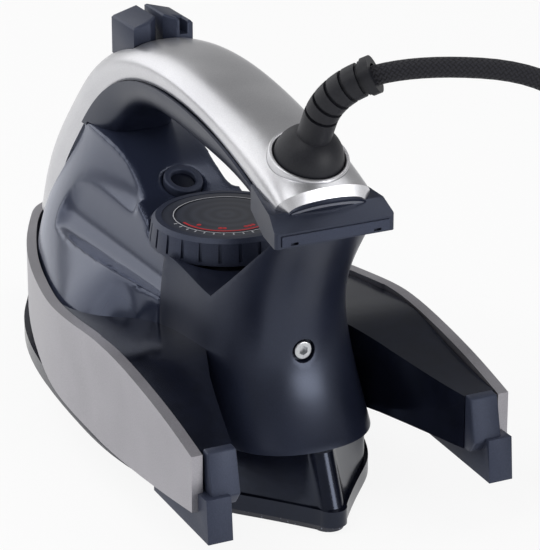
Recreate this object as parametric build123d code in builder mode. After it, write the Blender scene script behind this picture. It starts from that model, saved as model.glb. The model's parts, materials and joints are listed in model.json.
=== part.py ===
from build123d import *
from math import atan2, cos, pi, radians, sin, sqrt, tan
import os

os.makedirs("parts", exist_ok=True)

# A household steam iron. X runs to the nose, Y to the left, Z up from the sole.
# The origin is under the middle of the iron's box, on the ironing surface.

# Overall
HEEL_X = -150.0
GAP = 0.3  # clearance between pieces that move past each other
SEAT = 0.1  # clearance between pieces of one body
UPWARDS = (Align.CENTER, Align.CENTER, Align.MIN)  # a piece that stands on its place
DOWNWARDS = (Align.CENTER, Align.CENTER, Align.MAX)  # a piece that hangs from its place

# Sole and base
SOLE_THICK = 2.6
RIM_TOP = 9.0  # top of the black rim over the sole
DECK_Z = 28.0  # top of the base skirt, where tank and housing stand
SOLE_NOSE = 150.0
SOLE_SIDE = [(128.0, 16.0), (104.0, 28.0), (57.0, 42.3), (8.0, 47.5), (-45.0, 46.5), (-90.0, 34.0)]
STERN = (-126.5, 5.5)  # where each side runs into the round stern
STERN_TIP = -131.0
STERN_RAKE = 8.5  # how far the stern's top leans forward of its foot
SKIRT_WALL = 2.6
STEAM_HOLE = 1.5  # radius
STEAM_ROWS = [(10.0, 11), (19.0, 7)]  # distance in from the sole's edge, holes a side

# Heater under the deck
CASTING_INSET = 9.5
CASTING_TOP = 12.8
ELEMENT_RADIUS = 3.3
ELEMENT_Z = 8.0
ELEMENT_ROUTE = [(-84.0, 11.0), (-50.0, 27.0), (40.0, 29.0), (100.0, 9.0)]  # left half
TERMINAL_TOP = 23.0
COVER_INSET = 14.0
COVER_REAR = -22.0
SEAL_THICK = 0.8
COVER_THICK = 1.6
BASE_SCREWS = [(-66.0, 8.0), (-66.0, -8.0)]
SCREW_HEAD = 3.6  # radius
SCREW_SHANK = 1.8  # radius
SCREW_HEAD_HIGH = 2.4
FUSE_X = -55.0
FUSE_RADIUS = 2.6
FUSE_LONG = 20.0
BRACKET_THICK = 1.5
THERMOSTAT_RADIUS = 8.5
THERMOSTAT_HIGH = 11.5

# Side panels, wings, end caps and heel feet
PANEL_PLAN = [(126.0, 15.0), (95.0, 29.5), (58.0, 43.5), (18.0, 55.0), (-12.0, 61.0), (-50.0, 63.5)]
PANEL_NOSE = 145.5
PANEL_REAR = (-141.5, 64.0)
PANEL_THICK = 4.3
PANEL_TOP = [(-30.0, 58.5), (-62.0, 61.2), (-96.0, 58.2), (-116.0, 54.7), (-145.0, 47.5)]
PANEL_TOP_NOSE = 40.4
PANEL_FOOT = [(-60.0, 21.5), (-100.0, 23.0), (-145.0, 27.5)]
WING_FOOT = 28.2
WING_REAR = -139.0
WING_INNER = [(-79.0, 28.8), (-96.0, 35.2), (-110.0, 39.2), (WING_REAR, 47.0)]
WING_TOP = [
    (30.0, 50.0), (-30.0, 56.6), (-62.0, 59.4), (-79.0, 59.6), (-96.0, 56.2), (-110.0, 53.4), (-142.0, 48.8),
]
CAP_INNER = 47.2
CAP_OUTER = 58.6
CAP_SIDE = [(-139.1, 28.4), (-139.1, 49.6), (-143.0, 49.2), (-146.5, 33.0), (-143.0, 28.4)]
FOOT_INNER = 52.0
FOOT_OUTER = 61.7
FOOT_SIDE = [(HEEL_X, 17.5), (-148.6, 34.0), (-128.0, 34.0), (-104.0, 28.0), (-104.0, 19.5)]

# Water tank
TANK_REAR = -46.0
TANK_WALL = 2.4
TANK_FRONT = 113.0  # front end of the space for water
TANK_FOOT = DECK_Z + 0.3
TANK_TOP = 104.0  # seam between tank and handle underside
TANK_SEAM = 39.0  # weld between the tank and its base
TANK_LEVELS = [  # z, nose x, plan points of the left side
    (28.3, 134.0, [
        (118.0, 11.0), (95.0, 21.5), (58.0, 36.0), (18.0, 48.0), (-10.0, 51.5), (-28.0, 46.0), (-46.0, 33.0),
    ]),
    (52.0, 134.0, [
        (118.0, 11.0), (95.0, 22.5), (58.0, 37.5), (18.0, 49.5), (-10.0, 53.0), (-28.0, 46.5), (-46.0, 33.0),
    ]),
    (72.0, 124.0, [
        (107.0, 11.5), (86.0, 19.0), (50.0, 29.5), (-3.0, 36.0), (-46.0, 32.0),
    ]),
    (112.0, 90.0, [
        (80.0, 9.0), (66.0, 15.5), (30.0, 20.0), (0.0, 22.0), (-46.0, 24.0),
    ]),
]
TANK_CREST = [(-66.0, 80.0), (-20.0, 84.0), (2.0, 94.5), (16.0, 101.5), (35.0, 105.5), (60.0, 106.0)]
SCOOP_LEVELS = [  # y, front wall x, floor z at the front, floor z at the seam, corner radius
    (20.0, 46.0, 100.0, 93.0, 8.0),
    (23.5, 57.0, 80.0, 79.0, 12.0),
    (29.0, 64.0, 66.5, 68.5, 14.0),
    (36.0, 66.0, 64.5, 72.0, 15.0),
    (60.0, 68.0, 62.0, 76.0, 15.0),
]
WELL_RADIUS = 14.0  # well in the tank round the dial spindle

# Rear housing
HOUSING_LEVELS = [  # z, rear end x, half width, where it is that wide, half width at the seam
    (28.0, -118.0, 32.0, -86.0, 33.0),
    (57.0, -103.0, 30.0, -76.0, 32.5),
    (80.0, -105.0, 26.5, -80.0, 31.0),
    (98.0, -114.5, 24.5, -93.0, 28.0),
    (116.0, -126.0, 24.0, -112.0, 26.0),
]
HOUSING_WALL = 3.0
HOUSING_ROOF = 75.0  # top of the space inside
NOTCH = [(-30.0, 90.0), (-79.0, 80.0), (-119.0, 114.5)]  # V edge of the dial recess, seen from the side
TONGUE_FOOT = 62.0
SCREW_Z = 62.0
SCREW_SEAT = -99.0

# Handle arch, seen from the side
ARCH = [  # ridge x and z, half width, depth of the shell, depth of the core
    (144.0, 43.0, 4.5, 10.0, 13.0),
    (131.0, 50.5, 9.5, 14.0, 20.0),
    (117.0, 63.0, 15.0, 17.0, 30.0),
    (101.5, 84.2, 17.6, 17.0, 36.0),
    (84.8, 104.4, 18.0, 17.0, 36.0),
    (62.0, 126.6, 18.2, 16.0, 31.0),
    (35.5, 142.8, 18.2, 14.5, 26.0),
    (-12.0, 152.5, 18.2, 13.0, 25.5),
    (-60.0, 148.5, 18.2, 12.5, 25.0),
    (-95.0, 142.0, 18.4, 15.0, 24.0),
    (-124.0, 129.0, 18.8, 11.5, 15.0),
]
SHELL_THICK = 2.6
SHELL_END = 5.6  # thickness of its rear end
SHELL_FLANGE = 4.2  # sloping face round the rear end
SHELL_LIP = 3.6  # rolled edge along the shell's foot
SHELL_FOOT_Z = 46.3

# Heel plate
PLATE_SIDE = [
    (-126.5, 113.5), (-126.5, 119.0), (-119.5, 124.0), (-96.0, 127.5), (-96.0, 118.0), (-112.0, 113.5),
]
PLATE_REAR_HALF = 24.0
PLATE_FRONT_HALF = 18.5
PAD_HALF = 21.5
PAD_Z = (114.2, 118.2)
PAD_DEPTH = 1.2

# Temperature dial
DIAL_X = -37.0
DIAL_TOP = 94.0
DIAL_FOOT = 83.8
DIAL_RADIUS = 29.4
DIAL_RIM = 27.6
DIAL_FACE = 24.6
DIAL_GRIPS = 24
FACE_SINK = 1.2  # how deep the face is let into the grip
FACE_THICK = 1.0
FACE_RING = 19.0  # inner radius of the groove in the face
POCKET_RADIUS = 31.6
POCKET_FLOOR = 82.0
SPINDLE_RADIUS = 3.0

# Buttons on the handle
BUTTON_X = (18.5, 40.0)
BUTTON_Y = (1.6, 12.6)
BUTTON_TOP = 157.3  # along the inner edge
BUTTON_SIDE = 154.2  # along the outer edge
BUTTON_FOOT = 139.0
BUTTON_TRAVEL = 3.0
BUTTON_ROOM = 0.6
PUMP_AT = (30.0, 7.1)
PUMP_RADIUS = 5.5
PUMP_FOOT = 124.8
PLUNGER_RADIUS = 2.5

# Self-clean button
CLEAN_AT = (2.0, 0.0, 95.0)
CLEAN_TILT = 24.0
CLEAN_COLLAR = 7.8
CLEAN_SINK = 6.0  # how deep the collar stands in the tank
CLEAN_RADIUS = 4.7
CLEAN_ROD = 52.0
VALVE_AT = (24.0, 0.0)
VALVE_BORE = 3.0  # radius of the way down from the tank to the steam chamber
VALVE_RADIUS = 6.0
ROD_RADIUS = 2.0

# Filler lid and spray nozzle on the prow
LID_SHARE = 0.225  # place along the ridge, from the nose
LID_WIDE = 17.0
LID_LONG = 24.0
LID_GAP = 0.4
HINGE_Y = -LID_LONG / 2  # hinge line, measured on the lid's own plane
HINGE_Z = 1.9
HINGE_RADIUS = 1.5
PIN = 0.7
BARREL_LONG = 6.0
LUG_LONG = 2.4
FILLER_RADIUS = 6.5
NOZZLE_SHARE = 0.075
NOZZLE_RADIUS = 3.6

# Cord swivel
BALL = (-105.0, 0.0, 137.2)
BALL_RADIUS = 13.0
SWIVEL_TILT = 23.0
GUARD_ROUTE = [(-108.5, 0.0, 145.5), (-120.4, 0.0, 166.3), (-130.0, -13.0, 174.0)]
GUARD_BEND = 28.0
GUARD_RADIUS = 6.3
GUARD_RIBS = 5
COLLAR_WALL = 1.8
COLLAR_DEPTH = 4.0

# Power cord: free stretch, then a coil of four layers wound down to the floor, then the plug
CORD_D = 7.3
CORD_ROUTE = [
    (-126.0, -7.6, 170.8),
    (-135.4, -20.3, 178.3),
    (-161.0, -70.0, 175.0),
    (-176.0, -86.0, 143.0),
    (-183.0, -80.0, 110.0),
    (-185.5, -75.0, 78.0),
    (-186.0, -79.0, 48.0),
    (-186.0, -101.5, 28.5),
    (-186.0, -130.0, 28.5),
]
COIL_RADIUS = 44.0
COIL_PITCH = 7.9  # between turns, and between layers
COIL_FLOOR = 4.8  # middle of the lowest layer
COIL_LAYERS = 4
LAYER_QUARTERS = 5  # quarter turns in each layer
CLIMB_QUARTERS = 2  # quarter turns in which the cord changes layer
COIL_TURN = pi - atan2(COIL_PITCH / (2 * pi), COIL_RADIUS)  # angle at which the coil starts
END_QUARTERS = 0.9  # quarter turns that the lowest layer stops short
TAIL_FLAT = 20.0  # stretch of the tail that lies on the floor
TAIL_RUN = 50.0
PLUG_Z = 12.8
PLUG_HALF = 12.5
PLUG_WIDE = 36.0
PLUG_NECK = 12.0  # length of its round neck
PLUG_SHOULDER = 26.0  # where it reaches its full width
PLUG_LONG = 42.0
PIN_RADIUS = 2.4
PIN_LONG = 19.0
PIN_APART = 19.0
TIE_WIDE = 12.0
TIE_THICK = 0.8
TIE_CORNER = 3.0
TIE_SPARE = 0.6
TIE_ANGLE = 330.0


def save(piece, name):
    """Label a finished piece and write it as its own file."""
    piece.part.label = name
    export_step(piece.part, f"parts/{name}.step")


def sole_face(height, side_inset, stern_inset, rake=0.0):
    """Boat-shaped outline at one height, drawn in from the sole's own outline."""
    blend = [side_inset] * 4 + [(side_inset + stern_inset) / 2, 1.2 * stern_inset]
    sides = [(x, y - inset) for (x, y), inset in zip(SOLE_SIDE, blend) if y - inset > 8]
    shift = 1.67 * stern_inset + rake
    corner = (STERN[0] + shift, STERN[1])
    with BuildSketch(Plane.XY.offset(height)) as outline:
        with BuildLine():
            nose = (SOLE_NOSE - 1.6 * side_inset, 0)
            side = Spline(nose, *sides, corner, tangents=((-0.4, 1), (-0.8, -0.6)))
            ThreePointArc(corner, (STERN_TIP + shift, 0), (corner[0], -corner[1]))
            mirror(side, about=Plane.XZ)
        make_face()
    return outline.sketch


def tank_face(level, inset=0.0):
    """Plan outline of the tank at one level: pointed prow, straight seam at the rear."""
    height, nose, sides = level
    sides = [(x, y - inset) for x, y in sides[:-1]] + [(sides[-1][0] + inset, sides[-1][1] - inset)]
    corner = sides[-1]
    with BuildSketch(Plane.XY.offset(height)) as outline:
        with BuildLine():
            side = Spline((nose - 1.6 * inset, 0), *sides, tangents=((0, 1), (-1, -0.2)))
            Line(corner, (corner[0], -corner[1]))
            mirror(side, about=Plane.XZ)
        make_face()
    return outline.sketch


def scoop_face(level, inset=0.0):
    """Side outline of the hollow beside the tank's ridge, at one distance from the middle."""
    y, front, floor_front, floor_rear, corner = level
    front = front + inset
    with BuildSketch(Plane(origin=(0, y - inset, 0), x_dir=(1, 0, 0), z_dir=(0, -1, 0))) as outline:
        with BuildLine():
            FilletPolyline(
                (front, 140), (front, floor_front - inset), (TANK_REAR - 20, floor_rear - inset),
                radius=corner,
            )
            Polyline((TANK_REAR - 20, floor_rear - inset), (TANK_REAR - 20, 140), (front, 140))
        make_face()
    return outline.sketch


def housing_face(level, inset=0.0):
    """Plan outline of the rear housing at one level: round rear, straight seam in front."""
    height, rear, half, half_x, seam_half = level
    with BuildSketch(Plane.XY.offset(height)) as outline:
        with BuildLine():
            front = TANK_REAR - SEAT - inset
            side = Spline(
                (front, seam_half - inset), (half_x, half - inset), (rear + inset, 0),
                tangents=((-1, -0.25), (0, -1)),
            )
            Line((front, seam_half - inset), (front, inset - seam_half))
            mirror(side, about=Plane.XZ)
        make_face()
    return outline.sketch


def coil_point(middle, quarters):
    """Point of the coil's middle line, counted in quarter turns from its start on the top layer."""
    stage = LAYER_QUARTERS + CLIMB_QUARTERS
    layer = min(int(quarters // stage), COIL_LAYERS - 1)
    along = min(quarters - layer * stage, LAYER_QUARTERS)
    climb = quarters - layer * stage - along
    along = along + min(climb, CLIMB_QUARTERS - climb)
    inwards = along if layer % 2 == 0 else LAYER_QUARTERS - along
    radius = COIL_RADIUS - COIL_PITCH * inwards / 4
    height = COIL_FLOOR + COIL_PITCH * (COIL_LAYERS - 1 - layer)
    share = climb / CLIMB_QUARTERS
    height = height - COIL_PITCH * share * share * (3 - 2 * share)
    angle = COIL_TURN + quarters * pi / 2
    return middle + Vector(radius * cos(angle), radius * sin(angle), height)


def coil_way(middle, quarters):
    """Way that the coil's middle line runs at one of its points."""
    step = 1e-4
    return (coil_point(middle, quarters + step) - coil_point(middle, quarters - step)).normalized()


def biarc(start, start_way, end, end_way):
    """Two tangent arcs from one point to another, with the way that each end points."""
    span = end - start
    both = start_way + end_way
    spread = 2 * (1 - start_way.dot(end_way))
    reach = span.dot(both)
    if spread < 1e-6:
        arm = span.dot(span) / (2 * reach)
    else:
        arm = (sqrt(reach * reach + spread * span.dot(span)) - reach) / spread
    middle = (start + start_way * arm + end - end_way * arm) * 0.5
    TangentArc(start, middle, tangent=start_way)
    TangentArc(middle, end, tangent=end - end_way * arm - start - start_way * arm)


with BuildLine() as ridge_line:
    Spline(*[(x, 0, z) for x, z, *_ in ARCH])
ridge = ridge_line.line.edge()


def arch_plane(x, z):
    """Plane square to the ridge at one of its points: its x runs to the left, its y inwards."""
    share = ridge.param_at_point(Vector(x, 0, z))
    return Plane(origin=ridge @ share, x_dir=(0, 1, 0), z_dir=ridge % share)


def skin_plane(share):
    """Plane that lies on the ridge: its x runs to the left, its z straight out of the shell."""
    across = Plane(origin=ridge @ share, x_dir=(0, 1, 0), z_dir=ridge % share)
    return Plane(origin=ridge @ share, x_dir=(0, 1, 0), z_dir=-across.y_dir)


def crown(half, depth, proud=0.0):
    """Points of a crowned cross-section, from one foot over the ridge to the other."""
    shoulder = (0.62 * half + 0.8 * proud, 0.14 * depth - 0.8 * proud)
    side = [(half + proud, depth), (0.95 * half + proud, 0.52 * depth), shoulder]
    return [(-x, y) for x, y in side] + [(0, -proud)] + side[::-1]


def shell_face(station, outside=0.0, inside=SHELL_THICK):
    """Cross-section of the silver shell: a crowned wall with a lip turned in along its foot."""
    x, z, half, depth, _ = station
    outer = crown(half, depth - SHELL_LIP, outside)
    inner = crown(half - inside, depth - SHELL_LIP, 0.0)
    inner = [(x, y + inside * (1 - y / depth)) for x, y in inner]
    lip = (half - 2.0 + outside, depth)
    foot = (half - inside - 1.0, depth)
    with BuildSketch(arch_plane(x, z)) as outline:
        with BuildLine():
            Spline(*outer)
            Polyline(outer[-1], lip, foot, inner[-1])
            Spline(*inner[::-1])
            Polyline(inner[0], (-foot[0], foot[1]), (-lip[0], lip[1]), outer[0])
        make_face()
    return outline.sketch


def core_face(station):
    """Cross-section of the handle underside: it fills the shell and rounds off below it."""
    x, z, half, depth, core = station
    top = crown(half - SHELL_THICK - 0.3, depth - SHELL_LIP, 0.0)
    top = [(x, y + SHELL_THICK * (1 - y / depth) + 0.3) for x, y in top]
    waist = (half - 0.6, depth + 0.4)
    low = (0.62 * half, core)
    with BuildSketch(arch_plane(x, z)) as outline:
        with BuildLine():
            Spline(*top)
            foot = (half - SHELL_THICK - 1.5, depth + 0.4)
            Polyline(top[-1], foot, waist)
            Spline(waist, (0.9 * half, 0.55 * depth + 0.45 * core), low, (0, core + 1.0), (-low[0], low[1]),
                   (-0.9 * half, 0.55 * depth + 0.45 * core), (-waist[0], waist[1]))
            Polyline((-waist[0], waist[1]), (-foot[0], foot[1]), top[0])
        make_face()
    return outline.sketch


def panel_edge(inset):
    """Plan points of a side panel's face, drawn in from its outer face."""
    sides = [(x, y - inset) for x, y in PANEL_PLAN]
    return [(PANEL_NOSE - 1.6 * inset, GAP / 2), *sides, (PANEL_REAR[0], PANEL_REAR[1] - inset)]


def right_hand(piece):
    """The mirror image of a piece, on the right of the iron."""
    with BuildPart() as twin:
        mirror(piece.part, about=Plane.XZ)
    return twin


def boat(foot, top, side_inset, stern_inset):
    """Upright block with the sole's outline, drawn in."""
    with BuildPart() as block:
        extrude(sole_face(foot, side_inset, stern_inset), amount=top - foot)
    return block.part


def tank_block(inset=0.0):
    """The tank's outer shape, drawn in all round: hull, crest line and the hollows beside the crest."""
    with BuildPart() as block:
        loft(sections=[tank_face(level, inset) for level in TANK_LEVELS])
        with BuildSketch(Plane.XZ):
            with BuildLine():
                crest = Spline(*[(x, z - inset) for x, z in TANK_CREST])
                rear = crest @ 0
                front = crest @ 1
                Polyline(front, (150, front.Y), (150, 180), (rear.X, 180), rear)
            make_face()
        extrude(amount=80, both=True, mode=Mode.SUBTRACT)
        with BuildPart(mode=Mode.PRIVATE) as scoop:
            loft(sections=[scoop_face(level, inset) for level in SCOOP_LEVELS])
        add(scoop.part, mode=Mode.SUBTRACT)
        mirror(scoop.part, about=Plane.XZ, mode=Mode.SUBTRACT)
        with Locations((DIAL_X, 0, POCKET_FLOOR - inset)):
            Cylinder(POCKET_RADIUS + inset, 60, align=UPWARDS, mode=Mode.SUBTRACT)
        with Locations((DIAL_X, 0, 0)):
            Cylinder(WELL_RADIUS + inset, 260, mode=Mode.SUBTRACT)
        with Locations((DIAL_X, 0, 0)):
            Box(60, 2 * (WELL_RADIUS + inset), 260, align=(Align.MAX, Align.CENTER, Align.CENTER),
                mode=Mode.SUBTRACT)
        if inset > 0:
            split(bisect_by=Plane.XY.offset(TANK_FOOT + inset), keep=Keep.TOP)
    return block.part


# Soleplate with rows of steam holes along its edges
with BuildPart() as soleplate:
    extrude(sole_face(0, 1.6, 1.6), amount=SOLE_THICK)
    sole_edge = soleplate.faces().sort_by(Axis.Z)[0].edges().sort_by(SortBy.LENGTH)[-1]
    for inset, count in STEAM_ROWS:
        for number in range(count):
            share = 0.10 + 0.62 * number / (count - 1)
            spot = sole_edge @ share
            inward = 1 if spot.Y < 0 else -1
            for side in (1, -1):
                with Locations((spot.X, side * (spot.Y + inward * inset), 0)):
                    Cylinder(STEAM_HOLE, 3 * SOLE_THICK, mode=Mode.SUBTRACT)
save(soleplate, "soleplate")

# Base skirt: the black rim over the sole, a raked stern above it, hollow below the deck
with BuildPart() as base_skirt:
    extrude(sole_face(SOLE_THICK, 0.0, 0.0), amount=RIM_TOP - SOLE_THICK)
    loft(sections=[sole_face(RIM_TOP, 5.4, 1.6), sole_face(DECK_Z, 6.4, 1.6, STERN_RAKE)])
    add(boat(SOLE_THICK, DECK_Z - SKIRT_WALL, 6.4 + SKIRT_WALL, 10.0), mode=Mode.SUBTRACT)
    with Locations((DIAL_X, 0, DECK_Z)):
        Cylinder(SPINDLE_RADIUS + 2, 20, mode=Mode.SUBTRACT)
    with Locations((*VALVE_AT, DECK_Z)):
        Cylinder(VALVE_BORE, 20, mode=Mode.SUBTRACT)
    with Locations(*[(x, y, DECK_Z) for x, y in BASE_SCREWS]):
        Cylinder(SCREW_SHANK + GAP, 20, mode=Mode.SUBTRACT)
save(base_skirt, "base_skirt")

# Heating element: a tube bent to a long loop, its terminals turned up at the rear
with BuildPart() as heating_element:
    left_side = [(x, y, ELEMENT_Z) for x, y in ELEMENT_ROUTE]
    right_side = [(x, -y, ELEMENT_Z) for x, y in ELEMENT_ROUTE[::-1]]
    rear = ELEMENT_ROUTE[0]
    with BuildLine() as loop:
        FilletPolyline(
            (*rear, TERMINAL_TOP), *left_side, *right_side, (rear[0], -rear[1], TERMINAL_TOP),
            radius=8,
        )
    with BuildSketch(Plane(origin=loop.line @ 0, z_dir=loop.line % 0)):
        Circle(ELEMENT_RADIUS)
    sweep(path=loop.line)

# Heater casting round the element
with BuildPart() as heater_casting:
    add(boat(SOLE_THICK + SEAT, CASTING_TOP, CASTING_INSET, 10.6))
    add(heating_element.part, mode=Mode.SUBTRACT)
    with Locations(*[(x, y, CASTING_TOP) for x, y in BASE_SCREWS]):
        Cylinder(SCREW_SHANK + SEAT, 14, mode=Mode.SUBTRACT)
save(heating_element, "heating_element")
save(heater_casting, "heater_casting")

# Steam chamber seal and its cover
chamber_end = Plane(origin=(COVER_REAR, 0, 0), z_dir=(1, 0, 0))
with BuildPart() as chamber_seal:
    add(boat(CASTING_TOP, CASTING_TOP + SEAL_THICK, COVER_INSET, COVER_INSET))
    split(bisect_by=chamber_end, keep=Keep.TOP)
    with BuildPart(mode=Mode.SUBTRACT):
        add(boat(CASTING_TOP, CASTING_TOP + SEAL_THICK, COVER_INSET + 5, COVER_INSET + 5))
        split(bisect_by=chamber_end.offset(5), keep=Keep.TOP)
save(chamber_seal, "chamber_seal")
with BuildPart() as steam_chamber_cover:
    seal_top = CASTING_TOP + SEAL_THICK
    add(boat(seal_top, seal_top + COVER_THICK, COVER_INSET, COVER_INSET))
    split(bisect_by=chamber_end, keep=Keep.TOP)
    with Locations((*VALVE_AT, seal_top)):
        Cylinder(VALVE_BORE, 20, mode=Mode.SUBTRACT)
save(steam_chamber_cover, "steam_chamber_cover")

# Thermostat and thermal fuse on the casting
with BuildPart() as thermostat:
    with Locations((DIAL_X, 0, CASTING_TOP)):
        Cylinder(THERMOSTAT_RADIUS + 2.5, 2.0, align=UPWARDS)
        Box(12, 26, BRACKET_THICK, align=UPWARDS)
        Cylinder(THERMOSTAT_RADIUS, THERMOSTAT_HIGH, align=UPWARDS)
    with Locations((DIAL_X, 0, CASTING_TOP + 5)):
        Cylinder(SPINDLE_RADIUS + GAP, 20, align=UPWARDS, mode=Mode.SUBTRACT)
save(thermostat, "thermostat")
with BuildPart() as thermal_fuse:
    with Locations((FUSE_X, 0, CASTING_TOP)):
        Box(9, 12, BRACKET_THICK, align=UPWARDS)
    with Locations(Location((FUSE_X, 0, CASTING_TOP + FUSE_RADIUS + 1), (90, 0, 0))):
        Cylinder(FUSE_RADIUS, FUSE_LONG)
    fillet(thermal_fuse.edges().filter_by(GeomType.CIRCLE), radius=0.8)
save(thermal_fuse, "thermal_fuse")

# Base screws, down through the deck into the casting
with BuildPart() as base_screws:
    with Locations(*[(x, y, DECK_Z) for x, y in BASE_SCREWS]):
        Cylinder(SCREW_HEAD, SCREW_HEAD_HIGH, align=UPWARDS)
        Cylinder(SCREW_SHANK, DECK_Z - CASTING_TOP + 6, align=DOWNWARDS)
    with Locations(*[(x, y, DECK_Z + SCREW_HEAD_HIGH) for x, y in BASE_SCREWS]):
        Box(5, 1, SCREW_HEAD_HIGH, mode=Mode.SUBTRACT)
        Box(1, 5, SCREW_HEAD_HIGH, mode=Mode.SUBTRACT)
save(base_screws, "base_screws")

# Side panels: bent bands, cut to their curved top and foot as seen from the side
with BuildPart() as left_side_panel:
    with BuildSketch():
        with BuildLine():
            outer = Spline(*panel_edge(0), tangents=((-0.6, 1), (-1, 0)))
            inner = Spline(*panel_edge(PANEL_THICK), tangents=((-0.6, 1), (-1, 0)))
            Line(outer @ 0, inner @ 0)
            Line(outer @ 1, inner @ 1)
        make_face()
    extrude(amount=80)
    with BuildSketch(Plane.XZ):
        with BuildLine():
            top = Spline(*PANEL_TOP, tangents=((-1, 0.1), (-1, -0.27)))
            foot = Spline(*PANEL_FOOT, tangents=((-1, 0), (-1, 0.12)))
            Line(top @ 1, foot @ 1)
            front = PANEL_NOSE + 3
            Polyline(top @ 0, (front, PANEL_TOP_NOSE), (front, PANEL_FOOT[0][1]), foot @ 0)
        make_face()
    extrude(amount=100, both=True, mode=Mode.INTERSECT)
    add(base_skirt.part, mode=Mode.SUBTRACT)
save(left_side_panel, "left_side_panel")
right_side_panel = right_hand(left_side_panel)
save(right_side_panel, "right_side_panel")

# Water tank: welded from an upper shell and a base, with its openings
with BuildPart() as shell_block:
    loft(sections=[*[shell_face(station) for station in ARCH[:-1]], shell_face(ARCH[-1], inside=SHELL_END)])
    split(bisect_by=Plane.XY.offset(SHELL_FOOT_Z), keep=Keep.TOP)
with BuildPart() as prow_cut:
    prow = [(x, z, half, depth + 2 * GAP, core) for x, z, half, depth, core in ARCH[:8]]
    loft(sections=[shell_face(station, 18.0, SHELL_THICK + 2 * GAP) for station in prow])
clean_plane = Plane(origin=CLEAN_AT, x_dir=(0, 1, 0),
                    z_dir=(-sin(radians(CLEAN_TILT)), 0, cos(radians(CLEAN_TILT))))
lid_plane = skin_plane(LID_SHARE)
nozzle_plane = skin_plane(NOZZLE_SHARE)
boss_foot = -9.0
with BuildPart() as whole_tank:
    add(tank_block())
    add(prow_cut.part, mode=Mode.SUBTRACT)
    add(left_side_panel.part, mode=Mode.SUBTRACT)
    add(right_side_panel.part, mode=Mode.SUBTRACT)
    with BuildPart(mode=Mode.SUBTRACT):
        add(tank_block(TANK_WALL))
        loft(sections=[shell_face(station, 18.0, SHELL_THICK + SEAT + TANK_WALL) for station in ARCH[2:6]],
             mode=Mode.SUBTRACT)
        split(bisect_by=Plane(origin=(TANK_FRONT, 0, 0), z_dir=(-1, 0, 0)), keep=Keep.TOP)
    with Locations(clean_plane.offset(boss_foot)):
        Cylinder(CLEAN_COLLAR + 2.4, -boss_foot - 2.0, align=UPWARDS)
    with Locations(clean_plane.offset(-CLEAN_SINK)):
        Cylinder(CLEAN_COLLAR + SEAT, 20, align=UPWARDS, mode=Mode.SUBTRACT)
    with Locations(clean_plane.offset(boss_foot - 1)):
        Cylinder(ROD_RADIUS + 2 * GAP, 20, align=UPWARDS, mode=Mode.SUBTRACT)
    with Locations(lid_plane):
        Cylinder(FILLER_RADIUS, 60, mode=Mode.SUBTRACT)
    with Locations(nozzle_plane):
        Cylinder(NOZZLE_RADIUS + SEAT, 16, mode=Mode.SUBTRACT)
    with Locations((*VALVE_AT, TANK_FOOT)):
        Cylinder(VALVE_BORE, 20, mode=Mode.SUBTRACT)
with BuildPart() as water_tank:
    add(whole_tank.part)
    split(bisect_by=Plane.XY.offset(TANK_SEAM), keep=Keep.TOP)
save(water_tank, "water_tank")
with BuildPart() as tank_base:
    add(whole_tank.part)
    split(bisect_by=Plane.XY.offset(TANK_SEAM - SEAT), keep=Keep.BOTTOM)
save(tank_base, "tank_base")

# Rear housing: hollow pillar with the dial recess cut into its front
with BuildPart() as housing_block:
    loft(sections=[housing_face(level) for level in HOUSING_LEVELS])
    with BuildSketch(Plane.XZ) as notch:
        with BuildLine():
            Polyline(*NOTCH, (-119, 140), (-30, 140), NOTCH[0])
        make_face()
    extrude(amount=80, both=True, mode=Mode.SUBTRACT)
    split(bisect_by=Plane.XY.offset(PLATE_SIDE[0][1] - SEAT), keep=Keep.BOTTOM)
screw_axis = Plane(origin=(SCREW_SEAT, 0, SCREW_Z), z_dir=(-1, 0, 0))
with BuildPart() as rear_housing:
    add(housing_block.part)
    with BuildPart(mode=Mode.SUBTRACT):
        loft(sections=[housing_face(level, HOUSING_WALL) for level in HOUSING_LEVELS])
        split(bisect_by=Plane.XY.offset(HOUSING_ROOF), keep=Keep.BOTTOM)
    with Locations(screw_axis):
        Cylinder(7, 15, align=DOWNWARDS)
        Cylinder(7, 2, align=UPWARDS)
    with Locations((DIAL_X, 0, TONGUE_FOOT)):
        Cylinder(WELL_RADIUS - GAP, POCKET_FLOOR - TONGUE_FOOT, align=UPWARDS)
        Box(DIAL_X - TANK_REAR + 3, 2 * (WELL_RADIUS - GAP), POCKET_FLOOR - TONGUE_FOOT,
            align=(Align.MAX, Align.CENTER, Align.MIN))
    with Locations((DIAL_X, 0, POCKET_FLOOR)):
        Cylinder(POCKET_RADIUS, 60, align=UPWARDS, mode=Mode.SUBTRACT)
    with Locations((DIAL_X, 0, 0)):
        Cylinder(SPINDLE_RADIUS + GAP, 260, mode=Mode.SUBTRACT)
    with Locations(screw_axis):
        Cylinder(4.6, 20, align=UPWARDS, mode=Mode.SUBTRACT)
        Cylinder(SCREW_SHANK, 40, mode=Mode.SUBTRACT)
save(rear_housing, "rear_housing")

# Screw in the rear of the housing
with BuildPart() as rear_screw:
    with Locations(screw_axis):
        Cylinder(SCREW_HEAD, 3.0, align=UPWARDS)
        Cylinder(SCREW_SHANK - SEAT, 14, align=DOWNWARDS)
    fillet(rear_screw.edges().filter_by(GeomType.CIRCLE).sort_by(Axis.X)[0], radius=0.6)
    with BuildSketch(screw_axis.offset(3.0)):
        RegularPolygon(1.9, 6)
    extrude(amount=-1.8, mode=Mode.SUBTRACT)
save(rear_screw, "rear_screw")

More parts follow.
